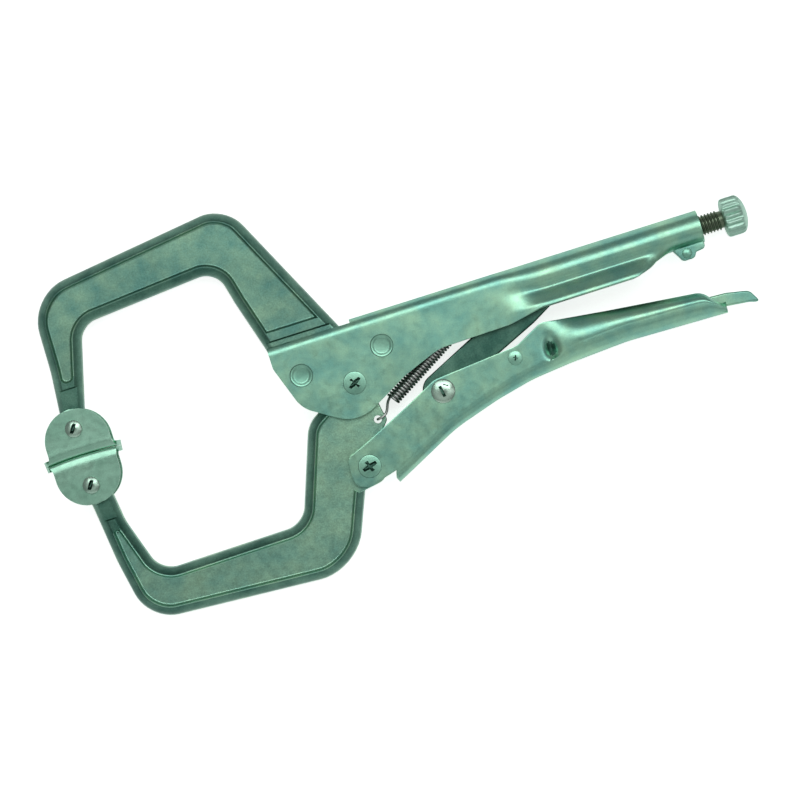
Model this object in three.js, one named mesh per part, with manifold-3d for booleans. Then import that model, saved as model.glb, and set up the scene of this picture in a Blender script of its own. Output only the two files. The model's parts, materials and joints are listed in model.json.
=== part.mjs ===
// Locking C-clamp pliers, 280 mm class, lying on one side.
// Built from the jaw pivot: +X runs along the adjusting screw to its knob, +Y to the upper handle,
// +Z is square to the jaws. The finished group is shifted so that its origin is the bottom centre.
// Units are millimetres.
import * as THREE from "three";
import { mergeVertices } from "three/addons/utils/BufferGeometryUtils.js";
import Module from "manifold-3d";

const wasm = await Module();
wasm.setup();

// ---- driving dimensions -------------------------------------------------------------------

const CLEAR = 0.3; // running gap between neighbouring pieces
const FAR = 60; // reach of a cut that passes right through

const REACH = 105.2; // jaw pivot to the pads' pivots, along X
const JAW_CLOSE_Y = 4.2; // plane on which the two pads meet
const PAD_GAP = 0.5; // opening left between the pads
const PAD_PIVOT_RISE = 11; // pad face to pad pivot
const UPPER_BRIDGE_Y = 77.5; // height of the fixed jaw's bridge at its rear corner
const LOWER_BRIDGE_Y = -67.8; // depth of the moving jaw's bridge at its rear corner

const TANG_HALF = 4.5; // half thickness of the jaws inside the handles
const FORGE_HALF = 6; // half thickness of the forged rims
const TIP_HALF = 5; // half thickness of the jaw tips between the pad ears
const POCKET_DEPTH = 2.4; // forged recess below the rim
const HUB_R = 10.5; // round of the moving jaw about its pivot
const HEEL_R = 6.3; // round of the moving jaw about the handle pivot
const TIP_R = 5; // round of the jaw tips about the pad pivots

const SHEET = 2; // pressed sheet of handles and pads
const REST_HALF = 9; // half width over the flared skirts and the pad rivet heads
const HANDLE_TOP = 23.4; // top of the upper handle
const TUBE_END = 141; // rear end of the rolled tube
const SCREW_Y = 17.2; // axis of the adjusting screw
const BORE_R = 4.2; // inside of the rolled tube
const LOWER_END = 140.4; // rear end of the lower handle
const WEB_FRONT = 5; // both handles' webs begin here

const HANDLE_PIVOT = [-4, -31.4]; // moving jaw to lower handle
const LINK_PIVOT = [30.6, -12.8]; // lower handle to toggle link
const LINK_END = [89, 14.8]; // centre of the link's nose
const LEVER_PIVOT = [60, -9.1];
const SPRING_HOLE = [4.1, -15.6]; // in the moving jaw
const SPRING_TAB = [58, 15.7]; // lanced from the upper handle's web
const JAW_RIVETS = { front: [-18.2, 8.6], rear: [13.8, 10.3] };

const PIVOT_R = 3.4; // shank of the large rivets
const LEVER_RIVET_R = 2;
const PAD_RIVET_R = 2.4;
const TUBE_RIVET_R = 1.2;

const LINK_HALF = 2.8; // half thickness
const LINK_NOSE_R = 2.8;
const LINK_TRAVEL = 3.4; // room between the link's nose and the screw tip
const LEVER_HALF = 3.5;
const LEVER_SHOWN = 14.5; // length of lever tail behind the lower handle
const THREAD_R = 3.9;
const KNOB_R = 7.5;
const THREAD_SHOWN = 9; // thread between tube and knob
const KNOB_LENGTH = 9.3;
const KNOB_FLUTES = 18;
const SPIGOT_R = 2.5; // screw end pressed into the knob
const COIL_R = 3;
const WIRE_R = 0.5;
const PAD_R = 14.8;
const EAR_R = 12.2;
const PAD_SHEET = 2.4;

const LEVER_TAIL = LOWER_END + LEVER_SHOWN;
const KNOB_FRONT = TUBE_END + THREAD_SHOWN;
const PLATE_IN = TANG_HALF + CLEAR;
const PLATE_OUT = PLATE_IN + SHEET;
const EAR_IN = TIP_HALF + CLEAR;
const EAR_OUT = EAR_IN + SHEET;

// ---- solids -------------------------------------------------------------------------------

// The three.js geometry as a solid that can be joined and cut.
function solid(geometry) {
  const loose = geometry.index ? geometry.toNonIndexed() : geometry;
  const bare = new THREE.BufferGeometry().setAttribute("position", loose.getAttribute("position"));
  const merged = mergeVertices(bare, 1e-4);
  const corners = merged.index.array;
  const faces = [];
  for (let i = 0; i < corners.length; i += 3) {
    const [a, b, c] = corners.slice(i, i + 3);
    if (a !== b && b !== c && a !== c) faces.push(a, b, c);
  }
  const vertProperties = new Float32Array(merged.attributes.position.array);
  return new wasm.Manifold(new wasm.Mesh({ numProp: 3, vertProperties, triVerts: new Uint32Array(faces) }));
}

function joined(...pieces) {
  return pieces.reduce((whole, piece) => whole.add(piece));
}

function without(piece, ...tools) {
  return tools.reduce((left, tool) => left.subtract(tool), piece);
}

// Corner points [x, y, radius] as a closed outline; a corner with a radius becomes a tangent arc.
function rounded(corners, arcStep = 18) {
  const points = [];
  corners.forEach(([x, y, radius = 0], i) => {
    const corner = new THREE.Vector2(x, y);
    const [bx, by] = corners.at(i - 1);
    const [ax, ay] = corners[(i + 1) % corners.length];
    const back = new THREE.Vector2(bx, by).sub(corner);
    const ahead = new THREE.Vector2(ax, ay).sub(corner);
    const room = 0.49 * Math.min(back.length(), ahead.length());
    back.normalize();
    ahead.normalize();
    const half = Math.acos(THREE.MathUtils.clamp(back.dot(ahead), -1, 1)) / 2;
    const reach = Math.min(radius / Math.tan(half), room);
    if (reach < 0.05 || Math.PI / 2 - half < 0.02) {
      points.push(corner);
      return;
    }
    const r = reach * Math.tan(half);
    const centre = back.clone().add(ahead).normalize().multiplyScalar(r / Math.sin(half)).add(corner);
    const from = back.clone().multiplyScalar(reach).add(corner).sub(centre);
    const turn = (Math.PI - 2 * half) * Math.sign(back.cross(ahead)) * -1;
    const steps = Math.max(1, Math.round(Math.abs(turn) / THREE.MathUtils.degToRad(arcStep)));
    for (let k = 0; k <= steps; k++) {
      const swung = from.clone().rotateAround(new THREE.Vector2(), (turn * k) / steps);
      points.push(swung.add(centre));
    }
  });
  return points;
}

// Axis permutations that take an extrusion along Z to one along X or Y.
const TURNS = {
  x: new THREE.Matrix4().set(0, 0, 1, 0, 1, 0, 0, 0, 0, 1, 0, 0, 0, 0, 0, 1),
  y: new THREE.Matrix4().set(0, 1, 0, 0, 0, 0, 1, 0, 1, 0, 0, 0, 0, 0, 0, 1),
  z: new THREE.Matrix4(),
};

// An outline swept straight along an axis. Its points are (x, y) along z, (y, z) along x, (z, x) along y.
function prism(corners, from, to, axis = "z") {
  const shape = new THREE.Shape(rounded(corners));
  const bar = new THREE.ExtrudeGeometry(shape, { depth: to - from, bevelEnabled: false });
  return solid(bar.translate(0, 0, from).applyMatrix4(TURNS[axis]));
}

// A round bar along Z, centred on [x, y].
function disc([x, y], radius, from, to, sides = 32) {
  const bar = new THREE.CylinderGeometry(radius, radius, to - from, sides).rotateX(Math.PI / 2);
  return solid(bar.translate(x, y, (from + to) / 2));
}

function hole(centre, radius, sides = 24) {
  return disc(centre, radius + CLEAR, -FAR, FAR, sides);
}

function block(x0, x1, y0, y1, z0, z1) {
  const box = new THREE.BoxGeometry(x1 - x0, y1 - y0, z1 - z0);
  return solid(box.translate((x0 + x1) / 2, (y0 + y1) / 2, (z0 + z1) / 2));
}

// A profile of [radius, height] points turned about an axis through the given place.
function turned(profile, place, axis = "z", sides = 28) {
  const points = profile.map(([r, h]) => new THREE.Vector2(r, h));
  const lathe = new THREE.LatheGeometry(points, sides);
  if (axis === "z") lathe.rotateX(Math.PI / 2);
  if (axis === "x") lathe.rotateZ(-Math.PI / 2);
  return solid(lathe.translate(...place));
}

// The polyline moved sideways by a distance, to the left of its direction.
function offset(points, distance) {
  return points.map(([x, y], i) => {
    const [bx, by] = points[Math.max(i - 1, 0)];
    const [ax, ay] = points[Math.min(i + 1, points.length - 1)];
    const length = Math.hypot(ax - bx, ay - by);
    return [x - ((ay - by) * distance) / length, y + ((ax - bx) * distance) / length];
  });
}

// Both mirror halves of a symmetric section: the given points have z >= 0, in order along y.
function mirrored(points) {
  return [...points, ...points.map(([y, z, r]) => [y, -z, r]).reverse()];
}

const assembly = new THREE.Group();

function place(name, piece, color, roughness, metalness = 0.85) {
  const { vertProperties, triVerts, numProp } = piece.getMesh();
  const geometry = new THREE.BufferGeometry();
  const positions = new THREE.InterleavedBuffer(new Float32Array(vertProperties), numProp);
  geometry.setAttribute("position", new THREE.InterleavedBufferAttribute(positions, 3, 0));
  geometry.setIndex(new THREE.BufferAttribute(new Uint32Array(triVerts), 1));
  const flat = geometry.toNonIndexed();
  flat.computeVertexNormals();
  const mesh = new THREE.Mesh(flat, new THREE.MeshStandardMaterial({ color, roughness, metalness }));
  mesh.name = name;
  assembly.add(mesh);
}

const ZINC = 0x6e9b87; // bright zinc plate on pressed sheet
const FORGED = 0x5f8c7a; // zinc plate on forged steel
const BRIGHT = 0xb4d2c2; // peened rivet heads
const DARK = 0x3a5444; // oiled thread
const SPRING_STEEL = 0x6a6a68;

// ---- rivets -------------------------------------------------------------------------------

// A rivet whose heads sit in countersinks: shank, sunk heads, and how far they stand proud.
const SINK = 1.3; // depth of a countersink
const SUNK_HEAD = { extra: 0.8, proud: 0.3 };

function sunkRivet(centre, shank, proud = SUNK_HEAD.proud) {
  const head = shank + SUNK_HEAD.extra;
  const seat = PLATE_OUT - SINK + CLEAR;
  const top = PLATE_OUT + proud;
  const profile = [[0, -top], [head - 0.4, -top], [head, -PLATE_OUT], [head, -seat], [shank, -seat],
    [shank, seat], [head, seat], [head, PLATE_OUT], [head - 0.4, top], [0, top]];
  return turned(profile, [...centre, 0]);
}

function sunkHole(centre, shank) {
  const head = shank + SUNK_HEAD.extra;
  const seat = PLATE_OUT - SINK;
  return joined(hole(centre, shank), disc(centre, head + CLEAR, seat, FAR), disc(centre, head + CLEAR, -FAR, -seat));
}

// A rivet with domed heads standing on plates whose outer faces are at +-plate.
function domedRivet(centre, shank, head, plate, top) {
  const under = plate + CLEAR;
  const crown = [[head, under], [head, under + 0.4 * (top - under)], [0.75 * head, under + 0.85 * (top - under)],
    [0.35 * head, top], [0, top]];
  const lower = crown.map(([r, h]) => [r, -h]).reverse();
  return turned([...lower, [shank, -under], [shank, under], ...crown], [...centre, 0]);
}

// ---- fixed jaw ----------------------------------------------------------------------------

const TIP_X = -REACH;
const UPPER_PAD_PIVOT = [TIP_X, JAW_CLOSE_Y + PAD_PIVOT_RISE];
const LOWER_PAD_PIVOT = [TIP_X, JAW_CLOSE_Y - PAD_PIVOT_RISE];
const TIP_LAND = 15; // length of thinned tip beyond the pad pivot
const TANG_FRONT = -26.8;
const TANG_REAR = 24;
const TANG_TOP = HANDLE_TOP - SHEET - CLEAR;
const HUB_CLEAR_R = HUB_R + 2.5;

function fixedJaw() {
  const tipY = UPPER_PAD_PIVOT[1];
  const top = UPPER_BRIDGE_Y;
  const arm = prism([
    [TIP_X - TIP_R, tipY - TIP_R, TIP_R],
    [TIP_X - 2.4, 38, 60],
    [TIP_X - 1.8, top - 9.6, 20],
    [-26.8, top + 0.9, 14],
    [1.2, TANG_TOP],
    [TANG_FRONT, TANG_TOP],
    [-27.4, 19.6],
    [-34, 42.2, 30],
    [-37.2, top - 21.7, 9],
    [TIP_X + 13.9, top - 26.1, 8],
    [TIP_X + 5.7, 21.2, 10],
    [TIP_X + TIP_R, tipY - TIP_R, TIP_R],
  ], -FORGE_HALF, FORGE_HALF);
  const tang = without(
    prism([
      [TANG_FRONT, TANG_TOP + 1],
      [TANG_FRONT, 15, 4],
      [-23, 3.5, 8],
      [-18.6, -2.6, 1],
      [-5, -2.6],
      [5, 3.2],
      [TANG_REAR - 2, 3.2, 2],
      [TANG_REAR, 8, 2],
      [TANG_REAR, TANG_TOP, 1],
      [-1, TANG_TOP],
      [-4, TANG_TOP + 6],
      [-20, TANG_TOP + 6],
    ], -TANG_HALF, TANG_HALF),
    disc([0, 0], HUB_CLEAR_R, -FAR, FAR, 40),
  );
  const pocket = [
    [TIP_X + 3.6, 34, 1],
    [TIP_X + 3.4, top - 13.8, 7],
    [-28.4, top - 6.2, 9],
    [-7.2, 28, 1],
    [-25.6, 28, 1],
    [-33.2, top - 18.7, 9],
    [TIP_X + 10.4, top - 20.7, 8],
    [TIP_X + 5.3, 34, 1],
  ];
  const floor = FORGE_HALF - POCKET_DEPTH;
  const landTop = tipY + TIP_LAND;
  const handleEdge = HANDLE_TOP + CLEAR;
  return without(
    joined(
      without(
        arm,
        prism(pocket, floor, FAR),
        prism(pocket, -FAR, -floor),
        block(TIP_X - 20, TIP_X + 20, -FAR, landTop, TIP_HALF, FAR),
        block(TIP_X - 20, TIP_X + 20, -FAR, landTop, -FAR, -TIP_HALF),
        block(-29.5, 20, -FAR, handleEdge, TANG_HALF, FAR),
        block(-29.5, 20, -FAR, handleEdge, -FAR, -TANG_HALF),
      ),
      tang,
    ),
    hole(UPPER_PAD_PIVOT, PAD_RIVET_R),
    hole(JAW_RIVETS.front, PIVOT_R),
    hole(JAW_RIVETS.rear, PIVOT_R),
  );
}

// ---- moving jaw ---------------------------------------------------------------------------

const HUB_LAND_R = HUB_R + 6; // full thickness begins outside this round
const HEEL_LAND_R = HEEL_R + 4.4;

function movingJaw() {
  const tipY = LOWER_PAD_PIVOT[1];
  const low = LOWER_BRIDGE_Y;
  const arm = prism([
    [TIP_X - TIP_R, tipY + TIP_R, TIP_R],
    [TIP_X - 2.3, -15.4, 20],
    [TIP_X + 0.1, -37, 60],
    [TIP_X + 4.8, low + 5.7, 15],
    [-19.8, low + 0.4, 22],
    [-8.6, -40, 8],
    [-6, -28],
    [-6, -8.4],
    [-21.6, -10.4, 6],
    [-34.2, low + 23.2, 9],
    [TIP_X + 14.9, low + 22.4, 9],
    [TIP_X + 7.8, -23.3, 20],
    [TIP_X + 6.8, -15, 10],
    [TIP_X + TIP_R, tipY + TIP_R, TIP_R],
  ], -FORGE_HALF, FORGE_HALF);
  const pocket = [
    [TIP_X + 2.8, -25, 1],
    [TIP_X + 6.9, low + 10.2, 7],
    [-55, low + 5.3, 40],
    [-22.6, low + 4.9, 16],
    [-11.9, -37.5, 4],
    [-8, -24],
    [-13, -12],
    [-18.4, -14.6, 2],
    [-31.2, low + 19.8, 10],
    [TIP_X + 13, low + 20, 9],
    [TIP_X + 9.2, -25, 1],
  ];
  const floor = FORGE_HALF - POCKET_DEPTH;
  const landLow = tipY - TIP_LAND;
  const [hx, hy] = HANDLE_PIVOT;
  const ear = prism([
    [-17, -10.2, 2],
    [-2, -8],
    [5, -7],
    [11.2, -11.4, 2.4],
    [8.4, -17, 3],
    [3.2, -21.6, 3],
    [hx + HEEL_R, hy + 4],
    [hx + HEEL_R, hy - HEEL_R, HEEL_R],
    [hx - 7.5, hy - 8.5],
    [-17, -30],
  ], -TANG_HALF, TANG_HALF);
  return without(
    joined(
      without(
        arm,
        prism(pocket, floor, FAR),
        prism(pocket, -FAR, -floor),
        block(TIP_X - 20, TIP_X + 20, landLow, FAR, TIP_HALF, FAR),
        block(TIP_X - 20, TIP_X + 20, landLow, FAR, -FAR, -TIP_HALF),
        disc([0, 0], HUB_LAND_R, TANG_HALF, FAR, 40),
        disc([0, 0], HUB_LAND_R, -FAR, -TANG_HALF, 40),
        disc(HANDLE_PIVOT, HEEL_LAND_R, TANG_HALF, FAR, 40),
        disc(HANDLE_PIVOT, HEEL_LAND_R, -FAR, -TANG_HALF, 40),
      ),
      ear,
      disc([0, 0], HUB_R, -TANG_HALF, TANG_HALF, 40),
    ),
    hole(LOWER_PAD_PIVOT, PAD_RIVET_R),
    hole([0, 0], PIVOT_R),
    hole(HANDLE_PIVOT, PIVOT_R),
    hole(SPRING_HOLE, 1.3, 16),
  );
}

// ---- upper handle -------------------------------------------------------------------------

const ROLL_FRONT = 72; // the plain channel becomes a rolled tube with flared skirts here
const SKIRT_REAR = TUBE_END - 21.4;
const TUBE_FRONT = TUBE_END - 12;
const TUBE_R = BORE_R + SHEET;
const TUBE_RIVET = [TUBE_END - 7.7, SCREW_Y - TUBE_R - 2];
const LIP_HALF = 2;

// Section through the rolled rear of the upper handle, half of it, as [y, z].
function rollSection(radius, neck, skirt, low) {
  const shoulder = Math.asin(neck / radius);
  const round = [0, 0.25, 0.5, 0.75, 1].map((share) => {
    const angle = share * (Math.PI - shoulder);
    return [SCREW_Y + radius * Math.cos(angle), radius * Math.sin(angle)];
  });
  round[0] = [SCREW_Y + radius, 0.01];
  const flare = [[SCREW_Y - 5.6, neck + 0.5, 2], [SCREW_Y - 8.2, skirt, 2], [low, skirt]];
  return mirrored([...round, ...flare]);
}

function upperHandle() {
  const low = -FAR / 3;
  const side = [
    [-27.6, 21.5, 0.6],
    [-27.6, 14, 5],
    [-21.6, -3.2, 12],
    [-3, -14.9, 15],
    [19, -2.9, 8],
    [34, 2.8, 20],
    [62, 3.3, 20],
    [76, 6, 6],
    [SKIRT_REAR, 6.3, 6],
    [TUBE_FRONT - 2, SCREW_Y - TUBE_R - 0.1, 3],
    [TUBE_END, SCREW_Y - TUBE_R - 0.1],
    [TUBE_END, HANDLE_TOP],
    [WEB_FRONT, HANDLE_TOP],
    [WEB_FRONT, 22.6],
  ];
  const frontOuter = mirrored([[HANDLE_TOP, PLATE_OUT, 3], [low, PLATE_OUT]]);
  const frontInner = mirrored([[HANDLE_TOP - SHEET, PLATE_IN, 0.5], [low, PLATE_IN]]);
  const bluntFront = prism(frontOuter, -28, ROLL_FRONT, "x");
  const rolled = prism(rollSection(TUBE_R, 5, REST_HALF, low), ROLL_FRONT - 6, TUBE_END, "x");
  const plan = prism([
    [-PLATE_OUT, -30], [PLATE_OUT, -30], [PLATE_OUT, ROLL_FRONT - 4, 20], [REST_HALF, ROLL_FRONT + 12, 20],
    [REST_HALF, SKIRT_REAR - 4, 12], [TUBE_R, TUBE_FRONT, 8], [TUBE_R, TUBE_END + 1],
    [-TUBE_R, TUBE_END + 1], [-TUBE_R, TUBE_FRONT, 8], [-REST_HALF, SKIRT_REAR - 4, 12],
    [-REST_HALF, ROLL_FRONT + 12, 20], [-PLATE_OUT, ROLL_FRONT - 4, 20],
  ], -FAR, FAR, "y");
  const outer = joined(bluntFront, rolled).intersect(prism(side, -FAR, FAR)).intersect(plan);
  const channel = prism(frontInner, -40, ROLL_FRONT - 1, "x");
  const openFront = block(-40, WEB_FRONT, HANDLE_TOP - SHEET - 1, FAR, -PLATE_IN, PLATE_IN);
  const roll = prism(rollSection(BORE_R, 3.2, REST_HALF - SHEET, low), ROLL_FRONT - 7, TUBE_FRONT - 1.5, "x");
  const planInner = prism([
    [-PLATE_IN, -50], [PLATE_IN, -50], [PLATE_IN, ROLL_FRONT - 4, 20], [REST_HALF - SHEET, ROLL_FRONT + 12, 20],
    [REST_HALF - SHEET, SKIRT_REAR - 4, 12], [BORE_R, TUBE_FRONT, 8], [-BORE_R, TUBE_FRONT, 8],
    [-(REST_HALF - SHEET), SKIRT_REAR - 4, 12], [-(REST_HALF - SHEET), ROLL_FRONT + 12, 20],
    [-PLATE_IN, ROLL_FRONT - 4, 20],
  ], -FAR, FAR, "y");
  const bore = turned([[0, TUBE_FRONT - 6], [BORE_R, TUBE_FRONT - 6], [BORE_R, TUBE_END + 1], [0, TUBE_END + 1]],
    [0, SCREW_Y, 0], "x", 32);
  const [rx, ry] = TUBE_RIVET;
  const lip = joined(
    disc(TUBE_RIVET, 2.4, -LIP_HALF, LIP_HALF, 20),
    block(rx - 2.4, rx + 2.4, ry, SCREW_Y - TUBE_R + 0.6, -LIP_HALF, LIP_HALF),
  );
  const [tx, ty] = SPRING_TAB;
  const tab = block(tx, tx + SHEET, ty - 1.4, HANDLE_TOP - SHEET + 0.5, -1.5, 1.5);
  return without(
    joined(without(outer, channel, openFront, roll.intersect(planInner), bore), lip, tab),
    sunkHole([0, 0], PIVOT_R),
    sunkHole(JAW_RIVETS.front, PIVOT_R),
    sunkHole(JAW_RIVETS.rear, PIVOT_R),
    hole(TUBE_RIVET, TUBE_RIVET_R, 16),
  );
}

// ---- lower handle -------------------------------------------------------------------------

const CRIMP_X = 74; // the plain channel ends and the rounded grip begins

function lowerHandle() {
  const [hx, hy] = HANDLE_PIVOT;
  const web = [
    [8, -39.2], [11.4, -37.4], [31.2, -27.6], [49, -22.2], [64, -18.8], [80, -17.2],
    [LOWER_END - 39, -15.9], [LOWER_END - 1, -16.9],
  ];
  const side = [
    [hx - 4.4, hy + 5.8, 5],
    [-1.7, -22.4, 20],
    [15.9, -14.2, 30],
    [28.5, -7.9, 8],
    [62, -5, 8],
    [CRIMP_X - 1, 0.6, 3],
    [LOWER_END - 42, -2.7, 60],
    [LOWER_END - 7, -6.6, 7],
    [LOWER_END + 1, -15.8, 1],
    ...web.toReversed(),
    [WEB_FRONT - 0.3, -35.8, 1],
    [hx - 3.2, hy - 7.6, 5],
    [hx - 7.9, hy - 2, 6],
  ];
  const plan = (half, wide) => prism([
    [-half, -40], [half, -40], [half, CRIMP_X - 2, 10], [wide, CRIMP_X + 12, 20], [wide, LOWER_END - 24, 30],
    [half, LOWER_END + 10, 10], [-half, LOWER_END + 10, 10], [-wide, LOWER_END - 24, 30],
    [-wide, CRIMP_X + 12, 20], [-half, CRIMP_X - 2, 10],
  ], -FAR * 2, FAR, "y");
  const bed = offset(web, SHEET);
  const inside = prism([
    [-40, FAR], [-40, -FAR], [WEB_FRONT, -FAR], [WEB_FRONT, bed[0][1]],
    ...bed, [LOWER_END + 20, bed.at(-1)[1]], [LOWER_END + 20, FAR],
  ], -FAR, FAR);
  const outer = prism(side, -FAR, FAR).intersect(plan(PLATE_OUT, REST_HALF));
  const cavity = inside.intersect(plan(PLATE_IN, REST_HALF - SHEET));
  return without(
    outer,
    cavity,
    sunkHole(HANDLE_PIVOT, PIVOT_R),
    hole(LINK_PIVOT, PIVOT_R),
    hole(LEVER_PIVOT, LEVER_RIVET_R),
  );
}

// ---- toggle link and release lever --------------------------------------------------------

function toggleLink() {
  const [bx, by] = LINK_PIVOT;
  const length = Math.hypot(LINK_END[0] - bx, LINK_END[1] - by);
  const slope = Math.atan2(LINK_END[1] - by, LINK_END[0] - bx);
  const n = LINK_NOSE_R;
  const bar = new THREE.Shape(rounded([
    [-6.2, 6.2, 6.2], [length - 24, 5.6, 20], [length + n, n, n], [length + n, -n, n],
    [length - 22, -4.4, 20], [22, -3.8, 6], [12, -5.8, 6], [-6.2, -5.8, 5.8],
  ]));
  const plate = new THREE.ExtrudeGeometry(bar, { depth: 2 * LINK_HALF, bevelEnabled: false });
  plate.translate(0, 0, -LINK_HALF).rotateZ(slope).translate(bx, by, 0);
  return without(solid(plate), hole(LINK_PIVOT, PIVOT_R));
}

function releaseLever() {
  const [rx, ry] = LEVER_PIVOT;
  return without(
    prism([
      [rx - 4, ry + 3.6, 3],
      [rx + 5, ry + 3.4, 3],
      [rx + 10, ry + 8, 1.6],
      [rx + 17, ry + 1.6, 6],
      [LOWER_END - 14, ry + 0.4, 10],
      [LOWER_END + 1.6, ry - 0.4, 10],
      [LEVER_TAIL - 3, ry - 2.2, 3],
      [LEVER_TAIL, ry - 7.6, 0.6],
      [LEVER_TAIL - 4, ry - 6.4, 3],
      [LOWER_END - 6, ry - 4.6, 10],
      [rx + 20, ry - 4, 10],
      [rx - 4, ry - 3.6, 3.4],
    ], -LEVER_HALF, LEVER_HALF),
    hole(LEVER_PIVOT, LEVER_RIVET_R, 16),
  );
}

// ---- spring -------------------------------------------------------------------------------

function jawSpring() {
  const hookHole = new THREE.Vector3(...SPRING_HOLE, 0);
  const tab = new THREE.Vector3(...SPRING_TAB, 0);
  const along = tab.clone().sub(hookHole).normalize();
  const at = (distance, side = 0, z = 0) =>
    hookHole.clone().addScaledVector(along, distance).add(new THREE.Vector3(-along.y * side, along.x * side, z));
  const coilFrom = 11;
  const coilTo = tab.distanceTo(hookHole) - 9;
  const coil = new THREE.CylinderGeometry(COIL_R, COIL_R, coilTo - coilFrom, 20);
  coil.applyQuaternion(new THREE.Quaternion().setFromUnitVectors(new THREE.Vector3(0, 1, 0), along));
  coil.translate(...at((coilFrom + coilTo) / 2).toArray());
  const wireSection = new THREE.Shape(
    Array.from({ length: 8 }, (_, i) => {
      const angle = (i * Math.PI) / 4;
      return new THREE.Vector2(WIRE_R * Math.cos(angle), WIRE_R * Math.sin(angle));
    }),
  );
  const wire = (points, steps) => solid(new THREE.ExtrudeGeometry(wireSection, {
    steps,
    extrudePath: new THREE.CatmullRomCurve3(points),
  }));
  const over = TANG_HALF + 1.1;
  const frontHook = wire([at(coilFrom + 0.6, 1, 2.3), at(coilFrom - 0.8, 1, 4.6), at(coilFrom - 3, 1, over), at(2, 0.3, over + 0.2),
    at(0.2, 0, over), at(0, 0, TANG_HALF - 1), at(0, 0, -1)], 24);
  const rearHook = wire([at(coilTo - 1, 0), at(coilTo + 4, 0), at(coilTo + 8, 0)], 6);
  return joined(solid(coil), frontHook, rearHook);
}

// ---- adjusting screw ----------------------------------------------------------------------

const SCREW_TIP = LINK_END[0] + LINK_NOSE_R + LINK_TRAVEL;
const SPIGOT_LENGTH = 6.5;

function adjustingScrew() {
  return turned([
    [0, SCREW_TIP], [2.6, SCREW_TIP], [THREAD_R, SCREW_TIP + 1.6], [THREAD_R, KNOB_FRONT - CLEAR],
    [SPIGOT_R, KNOB_FRONT - CLEAR], [SPIGOT_R, KNOB_FRONT + SPIGOT_LENGTH], [0, KNOB_FRONT + SPIGOT_LENGTH],
  ], [0, SCREW_Y, 0], "x");
}

function screwKnob() {
  const end = KNOB_FRONT + KNOB_LENGTH;
  const rim = [];
  for (let i = 0; i < KNOB_FLUTES * 4; i++) {
    const angle = (i * Math.PI) / (KNOB_FLUTES * 2);
    const r = KNOB_R - (i % 4 < 2 ? 0 : 0.7);
    rim.push([SCREW_Y + r * Math.cos(angle), r * Math.sin(angle)]);
  }
  const barrel = turned([
    [0, KNOB_FRONT], [KNOB_R - 1.2, KNOB_FRONT], [KNOB_R + 0.1, KNOB_FRONT + 1.2], [KNOB_R + 0.1, end - 2.2],
    [KNOB_R - 1, end - 1], [KNOB_R - 3.4, end - 0.2], [0, end],
  ], [0, SCREW_Y, 0], "x", 36);
  const socket = turned([
    [0, KNOB_FRONT - 1], [SPIGOT_R + CLEAR, KNOB_FRONT - 1],
    [SPIGOT_R + CLEAR, KNOB_FRONT + SPIGOT_LENGTH + CLEAR], [0, KNOB_FRONT + SPIGOT_LENGTH + CLEAR],
  ], [0, SCREW_Y, 0], "x");
  return without(barrel.intersect(prism(rim, KNOB_FRONT - 1, end + 1, "x")), socket);
}

// ---- swivel pads --------------------------------------------------------------------------

// A pressed pad about its pivot: side is +1 for the upper pad, whose face looks down.
function swivelPad(pivot, side) {
  const [px, py] = pivot;
  const faceY = py - side * (PAD_PIVOT_RISE - PAD_GAP / 2);
  const backY = faceY + side * PAD_SHEET;
  const [low, high] = [Math.min(faceY, backY), Math.max(faceY, backY)];
  const round = new THREE.CylinderGeometry(PAD_R, PAD_R, PAD_SHEET, 48).translate(px, (low + high) / 2, 0);
  const face = solid(round).intersect(block(px - 20, px + 20, low - 1, high + 1, -EAR_OUT, EAR_OUT));
  const crown = py + side * 7.4;
  const ear = prism([
    [px - EAR_R, faceY], [px + EAR_R, faceY], [px + EAR_R, crown, 11.6], [px - EAR_R, crown, 11.6],
  ], -EAR_OUT, EAR_OUT);
  const [inner, outer] = side > 0 ? [backY, FAR] : [-FAR, backY];
  return without(
    joined(face, without(ear, block(px - 20, px + 20, inner, outer, -EAR_IN, EAR_IN))),
    hole(pivot, PAD_RIVET_R),
  );
}

// ---- assembly -----------------------------------------------------------------------------

place("upper_handle", upperHandle(), ZINC, 0.32);
place("fixed_jaw", fixedJaw(), FORGED, 0.45);
place("fixed_jaw_rivet_front", sunkRivet(JAW_RIVETS.front, PIVOT_R, 0.1), ZINC, 0.35);
place("fixed_jaw_rivet_rear", sunkRivet(JAW_RIVETS.rear, PIVOT_R, 0.1), ZINC, 0.35);
place("jaw_pivot_rivet", sunkRivet([0, 0], PIVOT_R), BRIGHT, 0.3);
place("moving_jaw", movingJaw(), FORGED, 0.45);
place("lower_handle", lowerHandle(), ZINC, 0.32);
place("handle_pivot_rivet", sunkRivet(HANDLE_PIVOT, PIVOT_R), BRIGHT, 0.3);
place("toggle_link", toggleLink(), FORGED, 0.4);
place("link_pivot_rivet", domedRivet(LINK_PIVOT, PIVOT_R, PIVOT_R + 1.1, PLATE_OUT, PLATE_OUT + 1.5), BRIGHT, 0.25);
place("release_lever", releaseLever(), ZINC, 0.32);
place("release_lever_rivet",
  domedRivet(LEVER_PIVOT, LEVER_RIVET_R, LEVER_RIVET_R + 0.7, PLATE_OUT, PLATE_OUT + 0.9), BRIGHT, 0.25);
place("jaw_spring", jawSpring(), SPRING_STEEL, 0.4);
place("adjusting_screw", adjustingScrew(), DARK, 0.5);
place("screw_knob", screwKnob(), ZINC, 0.35);
place("tube_rivet", domedRivet(TUBE_RIVET, TUBE_RIVET_R, TUBE_RIVET_R + 0.6, LIP_HALF, LIP_HALF + 1.3), ZINC, 0.3);
place("upper_pad", swivelPad(UPPER_PAD_PIVOT, 1), ZINC, 0.3);
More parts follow.
